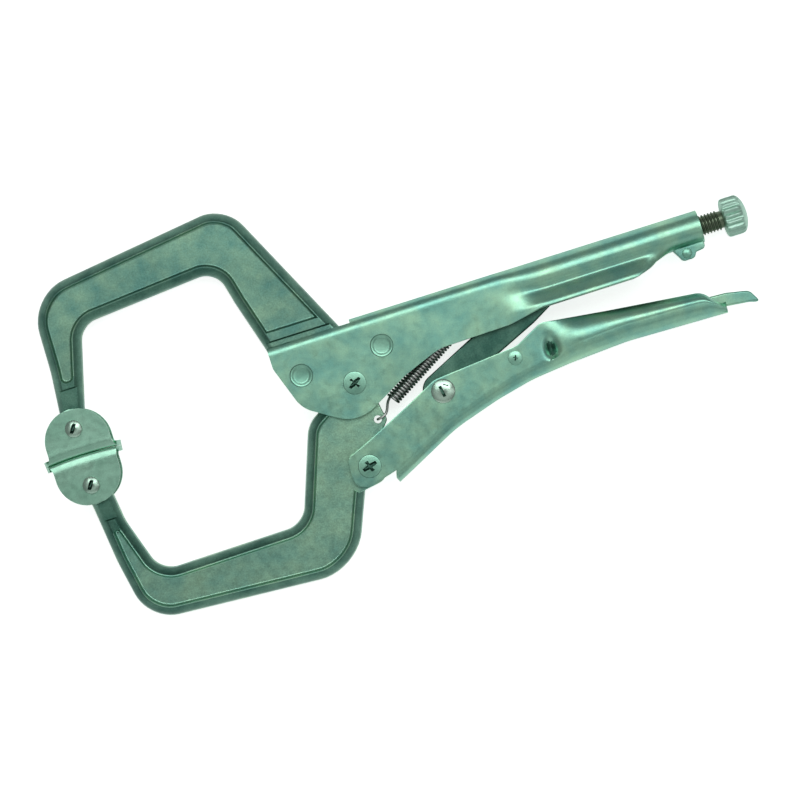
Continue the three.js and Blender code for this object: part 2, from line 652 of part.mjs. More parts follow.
place("upper_pad_rivet", domedRivet(UPPER_PAD_PIVOT, PAD_RIVET_R, PAD_RIVET_R + 0.8, EAR_OUT, REST_HALF), BRIGHT, 0.25);
place("lower_pad", swivelPad(LOWER_PAD_PIVOT, -1), ZINC, 0.3);
place("lower_pad_rivet", domedRivet(LOWER_PAD_PIVOT, PAD_RIVET_R, PAD_RIVET_R + 0.8, EAR_OUT, REST_HALF), BRIGHT, 0.25);

// The origin is the bottom centre of the whole tool.
const box = new THREE.Box3().setFromObject(assembly);
const centre = box.getCenter(new THREE.Vector3());
assembly.position.set(-centre.x, -centre.y, -box.min.z);

const tool = new THREE.Group();
tool.add(assembly);
export default tool;
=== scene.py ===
import json
import math

import bmesh
import bpy
from mathutils import Matrix, Vector


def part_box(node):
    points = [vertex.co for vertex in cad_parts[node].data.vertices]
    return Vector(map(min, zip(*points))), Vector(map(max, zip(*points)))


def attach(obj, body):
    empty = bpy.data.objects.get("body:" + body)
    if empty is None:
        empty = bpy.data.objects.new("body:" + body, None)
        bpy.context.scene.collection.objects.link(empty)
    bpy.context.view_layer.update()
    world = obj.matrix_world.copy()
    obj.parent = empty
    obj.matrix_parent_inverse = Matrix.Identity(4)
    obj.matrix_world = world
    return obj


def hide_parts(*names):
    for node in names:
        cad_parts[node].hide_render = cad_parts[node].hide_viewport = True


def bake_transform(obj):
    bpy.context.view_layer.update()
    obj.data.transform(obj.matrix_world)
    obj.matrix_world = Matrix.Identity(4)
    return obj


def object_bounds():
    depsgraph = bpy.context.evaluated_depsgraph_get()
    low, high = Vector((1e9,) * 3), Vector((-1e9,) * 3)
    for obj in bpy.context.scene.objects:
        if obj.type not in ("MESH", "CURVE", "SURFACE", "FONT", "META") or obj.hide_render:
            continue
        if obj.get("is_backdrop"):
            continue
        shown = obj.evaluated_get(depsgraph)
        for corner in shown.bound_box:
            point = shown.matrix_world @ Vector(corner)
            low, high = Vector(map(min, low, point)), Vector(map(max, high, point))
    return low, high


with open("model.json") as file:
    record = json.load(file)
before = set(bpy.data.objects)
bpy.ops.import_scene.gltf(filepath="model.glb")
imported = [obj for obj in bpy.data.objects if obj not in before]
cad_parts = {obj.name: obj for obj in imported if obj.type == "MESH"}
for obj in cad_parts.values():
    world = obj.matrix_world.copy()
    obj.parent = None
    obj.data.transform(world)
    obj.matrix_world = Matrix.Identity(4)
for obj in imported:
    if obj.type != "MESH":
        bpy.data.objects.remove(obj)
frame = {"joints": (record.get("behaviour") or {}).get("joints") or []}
cad_low, cad_high = (Vector(corner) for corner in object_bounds())

# ---- camera -------------------------------------------------------------------------------
# The tool lies on its side and is looked at straight from above, turned so that the handles
# climb to the right. Every place below is in millimetres from the jaw pivot, with +X along
# the adjusting screw and +Z up through the flat of the tool, whose mid plane is Z = 0.

MM = 0.001
joints = {joint["name"]: joint for joint in frame["joints"]}
jaw_pivot = Vector(joints["jaw_hinge"]["pos_m"])
jaw_pivot.z = (cad_low.z + cad_high.z) / 2


def from_pivot(place):
    offset = (Vector(place) - jaw_pivot) / MM
    return offset.x, offset.y


HANDLES_CLIMB = math.radians(-17.5)
VIEW_WIDTH = 0.300
LENS = 180
SENSOR = 36
AIM_ASIDE = Vector((-0.00545, -0.0165, 0))
view_right = Vector((math.cos(HANDLES_CLIMB), math.sin(HANDLES_CLIMB), 0))
view_up = Vector((-math.sin(HANDLES_CLIMB), math.cos(HANDLES_CLIMB), 0))
aim = (cad_low + cad_high) / 2 + AIM_ASIDE
camera_rise = Vector((0, 0, VIEW_WIDTH * LENS / SENSOR))
bpy.ops.object.camera_add(location=aim + camera_rise, rotation=(0, 0, HANDLES_CLIMB))
camera = bpy.context.object
camera.data.lens = LENS
camera.data.sensor_width = SENSOR
bpy.context.scene.camera = camera
bpy.context.scene.view_settings.view_transform = "Standard"

# ---- bench and light ----------------------------------------------------------------------
# A sheet of white board under a soft tent. The tent is dim right above, bright in a ring
# round the camera and dark towards its foot, with one broad soft box on the handles' side.

BOARD_SIZE = 5.0
BOARD_DROP = 0.0001


def deselect():
    if bpy.context.mode != "OBJECT":
        bpy.ops.object.mode_set(mode="OBJECT")
    bpy.ops.object.select_all(action="DESELECT")


def new_material(name):
    """A node material with an empty Principled shader and object coordinates to start from."""
    made = bpy.data.materials.new(name)
    made.use_nodes = True
    tree = made.node_tree
    shader = tree.nodes["Principled BSDF"]
    place = tree.nodes.new("ShaderNodeTexCoord").outputs["Object"]
    return made, tree, shader, place


def noise(tree, place, scale, detail=3.0, stretch=(1, 1, 1)):
    mapping = tree.nodes.new("ShaderNodeMapping")
    mapping.inputs["Scale"].default_value = stretch
    texture = tree.nodes.new("ShaderNodeTexNoise")
    texture.inputs["Scale"].default_value = scale
    texture.inputs["Detail"].default_value = detail
    tree.links.new(place, mapping.inputs["Vector"])
    tree.links.new(mapping.outputs["Vector"], texture.inputs["Vector"])
    return texture.outputs["Fac"]


def ramp(tree, amount, stops):
    """Colours [(position, (r, g, b))] laid along a 0 to 1 amount."""
    node = tree.nodes.new("ShaderNodeValToRGB")
    elements = node.color_ramp.elements
    while len(elements) < len(stops):
        elements.new(0.5)
    for element, (position, colour) in zip(elements, stops):
        element.position = position
        element.color = (*colour, 1)
    tree.links.new(amount, node.inputs["Fac"])
    return node.outputs["Color"]


board_white, tree, shader, place = new_material("white_board")
fibres = noise(tree, place, 900)
paper = ramp(tree, fibres, [(0.3, (0.90, 0.90, 0.90)), (0.7, (0.94, 0.94, 0.94))])
tree.links.new(paper, shader.inputs["Base Color"])
shader.inputs["Roughness"].default_value = 0.9
shader.inputs["Specular IOR Level"].default_value = 0.1
shader.inputs["Emission Color"].default_value = (1, 1, 1, 1)
seen = tree.nodes.new("ShaderNodeMapRange")
seen.inputs["To Min"].default_value = 0.30
seen.inputs["To Max"].default_value = 0.75
tree.links.new(tree.nodes.new("ShaderNodeLightPath").outputs["Is Camera Ray"], seen.inputs["Value"])
tree.links.new(seen.outputs["Result"], shader.inputs["Emission Strength"])

deselect()
bpy.ops.mesh.primitive_plane_add(size=BOARD_SIZE, location=(0, 0, cad_low.z - BOARD_DROP))
board = bpy.context.object
board.name = "white_board"
board.data.materials.append(board_white)
board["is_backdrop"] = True

tent = bpy.data.worlds.new("tent")
tent.use_nodes = True
bpy.context.scene.world = tent
tree = tent.node_tree
sky = tree.nodes["Background"]
direction = tree.nodes.new("ShaderNodeTexCoord").outputs["Generated"]
height = tree.nodes.new("ShaderNodeSeparateXYZ")
tree.links.new(direction, height.inputs["Vector"])
TENT_STOPS = [(0.0, 0.26), (0.70, 0.24), (0.80, 0.30), (0.87, 0.58), (0.935, 0.56), (0.975, 0.20),
              (1.0, 0.13)]
tent_colour = ramp(tree, height.outputs["Z"], [(at, (level, level, level)) for at, level in TENT_STOPS])
tree.links.new(tent_colour, sky.inputs["Color"])
sky.inputs["Strength"].default_value = 1.0


def soft_box(name, side, rise, width, depth, watts):
    """A rectangular lamp beside the camera, turned to face the tool."""
    bpy.ops.object.light_add(type="AREA", location=aim + side + Vector((0, 0, rise)))
    lamp = bpy.context.object
    lamp.name = name
    lamp.data.shape = "RECTANGLE"
    lamp.data.size = width
    lamp.data.size_y = depth
    lamp.data.energy = watts
    facing = (aim - lamp.location).to_track_quat("-Z", "Y")
    lamp.rotation_euler = facing.to_euler()


soft_box("soft_box_handles", view_up * 0.42, 1.0, 1.1, 0.50, 3.3)
soft_box("soft_box_right", view_right * 0.75, 1.0, 0.3, 0.9, 0.4)
soft_box("soft_box_low", view_up * -0.85, 0.42, 1.4, 0.8, 1.4)

# ---- fixed jaw ----------------------------------------------------------------------------
# The upper C-shaped jaw, a drop forging in zinc-plated steel: a flat web in a recess, with a
# rim that rounds away to the parting line. Its tang is riveted between the handle's plates,
# and its tip is thinned to stand between the ears of the pad.

ARC_STEP = math.radians(7)
HANDLE_TOP = (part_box("upper_handle")[1].y - jaw_pivot.y) / MM
TANG_HALF = 4.5
TIP_HALF = 5.0
TIP_SIDE = -60
NEAR = 1e-3
STEP_RUN = 0.5
THROUGH = 20
UPPER_PAD = from_pivot(joints["upper_pad_swivel"]["pos_m"])
LOWER_PAD = from_pivot(joints["lower_pad_swivel"]["pos_m"])
# Each step of a profile goes (inwards, up). The rim climbs from the parting line to its crest.
FORGED_RIM = [(0.05, 0.5), (0.35, 1.4), (0.3, 0.9), (0.4, 0.8), (0.5, 0.72), (0.55, 0.68), (0.55, 0.58),
              (0.35, 0.27), (0.25, 0.1), (0.15, 0.05)]
POCKET_WALL = [(0.06, -0.06), (0.08, -0.2), (0.1, -0.34), (0.12, -0.35), (0.15, -0.26), (0.17, -0.15),
               (0.17, -0.08), (0.14, -0.04), (0.1, -0.02)]
TIP_STEP_Y = 30.2
POCKET_TIP_Y = 34
POCKET_REAR_Y = 27.4


def edit(piece):
    deselect()
    piece.select_set(True)
    bpy.context.view_layer.objects.active = piece
    bpy.ops.object.mode_set(mode="EDIT")


def choose(kind, wanted):
    """Selects what the test accepts in the piece being edited. kind is VERT, EDGE or FACE."""
    bpy.ops.mesh.select_mode(type=kind)
    bpy.ops.mesh.select_all(action="DESELECT")
    mesh = bmesh.from_edit_mesh(bpy.context.object.data)
    for element in {"VERT": mesh.verts, "EDGE": mesh.edges, "FACE": mesh.faces}[kind]:
        if wanted(element):
            element.select_set(True)
    bmesh.update_edit_mesh(bpy.context.object.data)


def blank(corners):
    """A flat blank in the mid plane, its corners (x, y) sharp or (x, y, radius) rounded."""
    deselect()
    bpy.ops.mesh.primitive_circle_add(vertices=len(corners), fill_type="NGON", location=jaw_pivot)
    piece = bpy.context.object
    points = [Vector((x, y, 0)) * MM for x, y, *_ in corners]
    for vertex, point in zip(piece.data.vertices, points):
        vertex.co = point
    edit(piece)
    for i, (point, (_, _, *radius)) in enumerate(zip(points, corners)):
        if not radius:
            continue
        back = points[i - 1] - point
        ahead = points[(i + 1) % len(points)] - point
        half = back.angle(ahead) / 2
        reach = min(radius[0] * MM / math.tan(half), 0.49 * min(back.length, ahead.length))
        segments = max(2, round((math.pi - 2 * half) / ARC_STEP))
        choose("VERT", lambda v: (v.co - point).length < 1e-6)
        bpy.ops.mesh.bevel(offset=reach, segments=segments, affect="VERTICES")
    choose("FACE", lambda f: True)
    face = bmesh.from_edit_mesh(piece.data).faces
    face.ensure_lookup_table()
    face[0].normal_update()
    if face[0].normal.z < 0:
        bpy.ops.mesh.flip_normals()
    return piece


def climb(steps):
    """Insets the selected face again and again, each step (inwards, up)."""
    for inwards, up in steps:
        bpy.ops.mesh.inset(thickness=inwards * MM, depth=up * MM, use_even_offset=True)


def slice_at(y):
    bpy.ops.mesh.select_all(action="SELECT")
    bpy.ops.mesh.bisect(plane_co=jaw_pivot + Vector((0, y * MM, 0)), plane_no=(0, 1, 0), threshold=1e-7)


def thin(half, wanted):
    """Forges down to a half thickness whatever the test accepts of the piece being edited."""
    mesh = bmesh.from_edit_mesh(bpy.context.object.data)
    for vertex in mesh.verts:
        if wanted(vertex.co / MM):
            vertex.co.z = min(vertex.co.z, half * MM)
    bmesh.update_edit_mesh(bpy.context.object.data)


def apply_modifier(piece, kind, **settings):
    deselect()
    piece.select_set(True)
    bpy.context.view_layer.objects.active = piece
    bpy.ops.object.modifier_add(type=kind)
    modifier = piece.modifiers[-1]
    for name, value in settings.items():
        setattr(modifier, name, value)
    bpy.ops.object.modifier_apply(modifier=modifier.name)


def both_halves(piece):
    apply_modifier(piece, "MIRROR", use_axis=(False, False, True), merge_threshold=1e-6)


def boolean(piece, tool, operation):
    apply_modifier(piece, "BOOLEAN", object=tool, operation=operation, solver="EXACT")
    bpy.data.objects.remove(tool)


def plate(corners, half, edge=0.5):
    """A flat bar with rounded edges, half thick each side of the mid plane."""
    piece = blank(corners)
    climb([(0.01, half - edge), (0.08 * edge, 0.4 * edge), (0.22 * edge, 0.3 * edge),
           (0.3 * edge, 0.22 * edge), (0.4 * edge, 0.08 * edge)])
    both_halves(piece)
    return piece


def bore(piece, centre, radius, low=-THROUGH, high=THROUGH):
    """Cuts a round hole, or a round seat down to a level."""
    deselect()
    x, y = centre
    bpy.ops.mesh.primitive_cylinder_add(vertices=64, radius=radius * MM, depth=(high - low) * MM,
                                        location=jaw_pivot + Vector((x, y, (low + high) / 2)) * MM)
    tool = bpy.context.object
    boolean(piece, tool, "DIFFERENCE")


def finish(piece, name, body, nodes, materials, crease=32):
    """Names the finished piece, sets its place in its mesh, shades it and gives it to its body."""
    deselect()
    piece.select_set(True)
    bpy.context.view_layer.objects.active = piece
    bpy.ops.object.transform_apply(location=True, rotation=True, scale=True)
    piece.name = name
    piece.data.name = name
    if not piece.data.materials:
        for material in materials:
            piece.data.materials.append(material)
    bpy.ops.object.shade_smooth_by_angle(angle=math.radians(crease))
    apply_modifier(piece, "WEIGHTED_NORMAL", keep_sharp=True)
    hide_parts(*nodes)
    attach(piece, body)
    deselect()


def plated(name, light, dark, rough, grain=0.5, rolled=1.0, wave=0.25, gritty=0.5):
    """Zinc plate: cloudy colour, mottled gloss, fine grain and the slight waves of worked steel."""
    made, tree, shader, place = new_material(name)
    clouds = ramp(tree, noise(tree, place, 110, 8.0), [(0.34, dark), (0.66, light)])
    grit = ramp(tree, noise(tree, place, 1900, 2.0), [(0.3, (0.74, 0.74, 0.74)), (0.7, (1, 1, 1))])
    colour = tree.nodes.new("ShaderNodeMix")
    colour.data_type = "RGBA"
    colour.blend_type = "MULTIPLY"
    colour.inputs["Factor"].default_value = gritty
    tree.links.new(clouds, colour.inputs["A"])
    tree.links.new(grit, colour.inputs["B"])
    tree.links.new(colour.outputs["Result"], shader.inputs["Base Color"])
    patches = noise(tree, place, 420, 5.0)
    gloss = tree.nodes.new("ShaderNodeMapRange")
    gloss.inputs["From Min"].default_value = 0.3
    gloss.inputs["From Max"].default_value = 0.7
    gloss.inputs["To Min"].default_value = rough - 0.04
    gloss.inputs["To Max"].default_value = rough + 0.05
    tree.links.new(patches, gloss.inputs["Value"])
    tree.links.new(gloss.outputs["Result"], shader.inputs["Roughness"])
    shader.inputs["Metallic"].default_value = 1.0
    waves = tree.nodes.new("ShaderNodeBump")
    waves.inputs["Strength"].default_value = 1.0
    waves.inputs["Distance"].default_value = wave * MM
    tree.links.new(noise(tree, place, 55, 0.5), waves.inputs["Height"])
    speckle = tree.nodes.new("ShaderNodeBump")
    speckle.inputs["Strength"].default_value = grain
    speckle.inputs["Distance"].default_value = 0.02 * MM
    tree.links.new(noise(tree, place, 1500, 4.0, (1, rolled, rolled)), speckle.inputs["Height"])
    tree.links.new(waves.outputs["Normal"], speckle.inputs["Normal"])
    tree.links.new(speckle.outputs["Normal"], shader.inputs["Normal"])
    return made


# The fixed jaw's web is a darker copy of the moving jaw's zinc: painted shade.
fixed_web_painted_shade = plated("fixed_web_painted_shade", (0.29, 0.52, 0.37), (0.15, 0.36, 0.30), 0.36,
                    grain=0.9, wave=0.3, gritty=1.0)
# Darker zinc for the sloped draft of the forgings: painted shade where the slopes turn from the light.
dark_forging_and_painted_shade = plated("dark_forging_and_painted_shade", (0.15, 0.32, 0.24), (0.06, 0.17, 0.13), 0.42,
                      grain=1.0, wave=0.1, gritty=1.0)


def of_forging(piece, coined, web=fixed_web_painted_shade):
    """Gives a piece the dark material first, painted shade for the draft, and the bright coined one second.
    """
    piece.data.materials.append(dark_forging_and_painted_shade)
    piece.data.materials.append(web)
    for face in piece.data.polygons:
        face.material_index = coined


STEEP = 0.3
LEVEL = 0.82


def paint_draft_shade(piece, dark_too):
    """The recess, the coined flats and the trimmed edge are bright. The draft between them is dark,
    painted shade where its slopes turn from the light, and the flats that the test picks are dark too."""
    for face in piece.data.polygons:
        rise = abs(face.normal.z)
        if rise < STEEP or (rise > LEVEL and not dark_too(face.center / MM)):
            face.material_index = 1


tip_x, tip_y = UPPER_PAD
BRIDGE_Y = 77.5
fixed_jaw = blank([
    (tip_x - 5, tip_y - 5, 5),
    (tip_x - 2.4, 38, 60),
    (tip_x - 1.8, BRIDGE_Y - 9.6, 20),
    (-26.8, BRIDGE_Y + 0.9, 14),
    (5.65, 12),
    (-26.9, 12),
    (-27.4, 19.6),
    (-34, 42.2, 30),
    (-37.2, BRIDGE_Y - 21.7, 9),
    (tip_x + 13.9, BRIDGE_Y - 26.1, 8),
    (tip_x + 5.7, 21.2, 10),
    (tip_x + 5, tip_y - 5, 5),
])
deselect()
of_forging(fixed_jaw, 0)
edit(fixed_jaw)
choose("FACE", lambda f: True)
climb(FORGED_RIM)
slice_at(POCKET_TIP_Y)
slice_at(POCKET_REAR_Y)
CREST = sum(up for _, up in FORGED_RIM)


def heal_cut(y):
    """Takes the cut across the forging at y out of the crest on the hub's side."""
    choose("EDGE", lambda e: all(abs(v.co.y / MM - y) < NEAR and v.co.x / MM > TIP_SIDE
                                 and v.co.z / MM > CREST - NEAR for v in e.verts))
    bpy.ops.mesh.dissolve_edges()


def round_end(y, bulge):
    """Bows the straight end of a recess, across the forging at y, into a round one."""
    choose("EDGE", lambda e: all(abs(v.co.y / MM - y) < NEAR and v.co.x / MM < TIP_SIDE
                                 and v.co.z / MM > CREST - NEAR for v in e.verts))
    bpy.ops.mesh.subdivide(number_cuts=9)
    mesh = bmesh.from_edit_mesh(bpy.context.object.data)
    ends = [v for v in mesh.verts if v.select]
    left = min(v.co.x for v in ends)
    right = max(v.co.x for v in ends)
    for vertex in ends:
        across = (2 * vertex.co.x - left - right) / (right - left)
        vertex.co.y -= bulge * MM * math.sqrt(max(0, 1 - across * across))
    bmesh.update_edit_mesh(bpy.context.object.data)


def sink_pocket():
    mesh = bmesh.from_edit_mesh(bpy.context.object.data)
    pocket = max(mesh.faces, key=lambda f: f.calc_area())
    pocket.material_index = 1
    choose("FACE", lambda f: f == pocket)
    climb(POCKET_WALL)


heal_cut(POCKET_TIP_Y)
round_end(POCKET_TIP_Y, 1.9)
sink_pocket()
slice_at(TIP_STEP_Y)
slice_at(TIP_STEP_Y - STEP_RUN)
slice_at(HANDLE_TOP + 0.9)
slice_at(HANDLE_TOP + 0.3)
thin(TIP_HALF, lambda at: at.x < TIP_SIDE and at.y < TIP_STEP_Y - 0.4)
thin(TANG_HALF, lambda at: at.x > TIP_SIDE and at.y < HANDLE_TOP + 0.4)
both_halves(fixed_jaw)
HUB_ROOM = 13
tang = plate([
    (-26.8, HANDLE_TOP - 2.4), (-26.8, 15, 4), (-23, 3.5, 8), (-18.6, -2.6, 1), (-12.7, -2.6),
    *((HUB_ROOM * math.cos(math.radians(a)), HUB_ROOM * math.sin(math.radians(a)))
      for a in range(184, 17, -8)),
    (12.8, 3.2), (22, 3.2, 2), (24, 8, 2), (24, HANDLE_TOP - 2.3, 1), (-1, HANDLE_TOP - 2.3),
], TANG_HALF)
of_forging(tang, 1)
boolean(fixed_jaw, tang, "UNION")
# Painted shade: the draft takes the dark material, and so do the flats at the tip.
paint_draft_shade(fixed_jaw, lambda at: at.x < TIP_SIDE and at.y < TIP_STEP_Y + 4)
finish(fixed_jaw, "fixed_jaw_forging", "upper_frame", ["fixed_jaw"], [])

# ---- moving jaw ---------------------------------------------------------------------------
# The lower C-shaped jaw, a second forging. Its hub turns on the jaw pivot between the upper
# handle's plates, and its heel carries the lower handle and the hooked end of the spring.

HUB_R = 10.5
HANDLE_PIVOT = from_pivot(joints["handle_hinge"]["pos_m"])
heel_x, heel_y = HANDLE_PIVOT
DEPTH_Y = -67.8
LOWER_TIP_STEP_Y = -21.5
POCKET_LOWER_Y = -26.5
tip_x, tip_y = LOWER_PAD
moving_jaw = blank([
    (tip_x - 5, tip_y + 5, 5),
    (tip_x - 2.3, -15.4, 20),
    (tip_x + 0.1, -37, 60),
    (tip_x + 4.8, DEPTH_Y + 5.7, 15),
    (-19.8, DEPTH_Y + 0.4, 22),
    (-8.6, -40, 8),
    (-3.4, -29),
    (0.4, -24),
    (0.4, -4),
    (-11, -3.2),
    (-21.4, -9.6, 10),
    (-34.2, DEPTH_Y + 23.2, 9),
    (tip_x + 14.9, DEPTH_Y + 22.4, 9),
    (tip_x + 7.8, -23.3, 20),
    (tip_x + 6.8, -15, 10),
    (tip_x + 5, tip_y + 5, 5),
])
# A lighter copy of the fixed jaw's web zinc for the moving jaw: painted light.
moving_web_painted_light = plated("moving_web_painted_light", (0.39, 0.68, 0.48), (0.25, 0.53, 0.42), 0.36,
                   grain=0.9, wave=0.3, gritty=1.0)
deselect()
of_forging(moving_jaw, 0, moving_web_painted_light)
edit(moving_jaw)
choose("FACE", lambda f: True)
climb(FORGED_RIM)
slice_at(POCKET_LOWER_Y)
heal_cut(POCKET_LOWER_Y)
round_end(POCKET_LOWER_Y, -1.0)
sink_pocket()
slice_at(LOWER_TIP_STEP_Y)
slice_at(LOWER_TIP_STEP_Y + STEP_RUN)
thin(TIP_HALF, lambda at: at.x < TIP_SIDE and at.y > LOWER_TIP_STEP_Y + 0.4)
both_halves(moving_jaw)
EAR_ROOM = (((0, 0), HUB_R + 5.4), ((-3, -20), 9), (HANDLE_PIVOT, 10.7))
for centre, radius in EAR_ROOM:
    bore(moving_jaw, centre, radius, TANG_HALF - 0.01, THROUGH)
    bore(moving_jaw, centre, radius, -THROUGH, -TANG_HALF + 0.01)
hub_and_ear = plate([
    *((HUB_R * math.cos(math.radians(a)), HUB_R * math.sin(math.radians(a)))
      for a in range(201, -47, -6)),
    (6.2, -9.6, 1.5), (6.8, -13.4, 2), (7.6, -16.6, 2), (3.2, -21.6, 3), (heel_x + 6.3, heel_y + 4),
    (heel_x + 6.3, heel_y - 6.3, 6.3), (heel_x - 7.5, heel_y - 8.5), (-17, -30), (-17, -10.2, 2),
], TANG_HALF)
of_forging(hub_and_ear, 1, moving_web_painted_light)
boolean(moving_jaw, hub_and_ear, "UNION")
SPRING_HOLE = (4.1, -15.6)
SPRING_HOLE_R = 1.5
bore(moving_jaw, SPRING_HOLE, SPRING_HOLE_R)
# Painted shade: the draft takes the dark material, and so do the flats at the tip.
paint_draft_shade(moving_jaw, lambda at: at.x < TIP_SIDE and at.y > LOWER_TIP_STEP_Y - 4)
finish(moving_jaw, "moving_jaw_forging", "jaw", ["moving_jaw"], [])

# ---- upper handle -------------------------------------------------------------------------
# One blank of 2 mm sheet, pressed to a channel over the jaws and rolled at the rear into a
# tube for the adjusting screw. Below the roll its skirts flare, and behind them the two lips
# are pinched together and riveted.

SHEET = 2.0
PLATE_OUT = 6.8
REST_HALF = 9.0
SCREW_Y = from_pivot(joints["knob_turn"]["pos_m"])[1]
TUBE_R = 6.2
TUBE_END = (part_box("upper_handle")[1].x - jaw_pivot.x) / MM
SKIRT_REAR = TUBE_END - 21.4
TUBE_FRONT = TUBE_END - 12
WEB_FRONT = 5
BEND_R = 4.4
JAW_RIVET_FRONT = (-18.2, 8.6)
JAW_RIVET_REAR = (13.8, 10.3)
PIVOT_R = 3.4
HEAD_R = PIVOT_R + 0.8
SINK_R = HEAD_R + 0.15
BORE_ROOM = 0.2


def smooth(value, start, end):
    share = min(max((value - start) / (end - start), 0), 1)
    return share * share * (3 - 2 * share)


def arc(centre, radius, start, end, count):
    """Points on an arc in the section plane, angles in degrees from +Y towards +Z."""
    turns = [math.radians(start + (end - start) * k / count) for k in range(count + 1)]
    return [(centre[0] + radius * math.cos(a), centre[1] + radius * math.sin(a)) for a in turns]


def rounded_line(corners, steps=10):
    """An open line whose inner corners (x, y, radius) are rounded."""
    points = [corners[0][:2]]
    for before, (x, y, radius), after in zip(corners, corners[1:], corners[2:]):
        corner = Vector((x, y))
        back = Vector(before[:2]) - corner
        ahead = Vector(after[:2]) - corner
        reach = min(radius / math.tan(back.angle(ahead) / 2), 0.49 * back.length, 0.49 * ahead.length)
        start = corner + back.normalized() * reach
        end = corner + ahead.normalized() * reach
        for k in range(steps + 1):
            t = k / steps
            points.append(tuple((1 - t) ** 2 * start + 2 * t * (1 - t) * corner + t * t * end))
    points.append(corners[-1][:2])
    return points


def along(line, share):
    """The point a share of the way along a line of points."""
    lengths = [math.dist(a, b) for a, b in zip(line, line[1:])]
    left = share * sum(lengths)
    for (a, b), length in zip(zip(line, line[1:]), lengths):
        if left <= length and length > 0:
            return tuple(Vector(a).lerp(Vector(b), left / length))
        left -= length
    return tuple(line[-1])


def height_at(line, x):
    """The height of a line of points over x."""
    for (x0, y0), (x1, y1) in zip(line, line[1:]):
        if x0 <= x <= x1 and x1 > x0:
            return y0 + (y1 - y0) * (x - x0) / (x1 - x0)
    return line[0][1] if x < line[0][0] else line[-1][1]


def resample(line, count):
    return [along(line, k / count) for k in range(count + 1)]


def pressed_sheet(columns, rows, form, missing=None):
    """A flat sheet of squares, trimmed where missing says so and then pressed to a form.

    Both are given the place (u, v) on the sheet, each from 0 to 1."""
    deselect()
    bpy.ops.mesh.primitive_grid_add(x_subdivisions=columns, y_subdivisions=rows, size=1, location=jaw_pivot)
    sheet = bpy.context.object
    edit(sheet)
    if missing:
        choose("FACE", lambda f: missing(*(f.calc_center_median().xy + Vector((0.5, 0.5)))))
        bpy.ops.mesh.delete(type="FACE")
    deselect()
    for vertex in sheet.data.vertices:
        vertex.co = Vector(form(vertex.co.x + 0.5, vertex.co.y + 0.5)) * MM
    edit(sheet)
    bpy.ops.mesh.select_all(action="SELECT")
    bpy.ops.mesh.remove_doubles(threshold=2e-6)
    bpy.ops.mesh.dissolve_degenerate(threshold=2e-6)
    bpy.ops.mesh.select_all(action="SELECT")
    mesh = bmesh.from_edit_mesh(sheet.data)
    mesh.normal_update()
    if sum(face.normal.z * face.calc_area() for face in mesh.faces) < 0:
        bpy.ops.mesh.flip_normals()
    deselect()
    return sheet


def give_thickness(sheet, thickness, edge=0.35):
    apply_modifier(sheet, "SOLIDIFY", thickness=thickness * MM, offset=-1)
    apply_modifier(sheet, "BEVEL", width=edge * MM, segments=2, limit_method="ANGLE",
                   angle_limit=math.radians(60), use_clamp_overlap=True)


lower_edge = rounded_line([
    (-27.6, 20), (-27.6, 14, 5), (-21.6, -3.2, 12), (-3, -14.9, 15), (19, -2.9, 8), (34, 2.8, 20),
    (62, 3.3, 20), (76, 6, 6), (SKIRT_REAR, 6.3, 6), (TUBE_FRONT - 2, SCREW_Y - TUBE_R, 3),
    (TUBE_END, SCREW_Y - TUBE_R),
])
lower_edge = [point for point in lower_edge if point[1] < 17]
BEND_ROWS = 14
TURNED_IN_ROWS = 5
FLANK_ROWS = 26


def upper_section(x, low):
    """Half of the section at x, from the middle of the top to the lower edge."""
    corner = HANDLE_TOP - BEND_R
    bend = resample([(HANDLE_TOP, 0), *arc((corner, PLATE_OUT - BEND_R), BEND_R, 0, 90, 12)], BEND_ROWS)
    flank = resample([(corner, PLATE_OUT), (low, PLATE_OUT)], FLANK_ROWS)
    plain = [(HANDLE_TOP, 0)] + bend[1:] + flank[1:]
    crown = resample(arc((SCREW_Y, 0), TUBE_R, 0, 90, 16), BEND_ROWS)
    neck = arc((SCREW_Y, 0), TUBE_R, 90, 122, 6)
    neck += [(SCREW_Y - 4.6, 5.05), (SCREW_Y - 5.6, 5.5), (SCREW_Y - 6.6, 6.3), (SCREW_Y - 9.2, 8.3),
             (SCREW_Y - 10.0, 8.8), (low, REST_HALF)]
    closed = arc((SCREW_Y, 0), TUBE_R, 90, 178, 20)
    flared = resample(neck, FLANK_ROWS)
    shut = resample(closed, FLANK_ROWS)
    rolled_in = smooth(x, 60, 80)
    shut_in = smooth(x, SKIRT_REAR - 8, TUBE_FRONT + 1)
    section = []
    for k, (y, z) in enumerate(plain):
        if k <= BEND_ROWS:
            ry, rz = crown[k]
        else:
            fy, fz = flared[k - BEND_ROWS]
            sy, sz = shut[k - BEND_ROWS]
            ry, rz = fy + (sy - fy) * shut_in, fz + (sz - fz) * shut_in
        section.append((y + (ry - y) * rolled_in, z + (rz - z) * rolled_in))
    return section


def upper_form(u, v):
    x, low = along(lower_edge, u)
    row = v * (BEND_ROWS + FLANK_ROWS)
    key = round(u * 1e6)
    if key not in sections:
        sections[key] = upper_section(x, low)
    y, z = sections[key][round(row)]
    return x, y, z


def upper_missing(u, v):
    return along(lower_edge, u)[0] < WEB_FRONT and v * (BEND_ROWS + FLANK_ROWS) < BEND_ROWS - TURNED_IN_ROWS


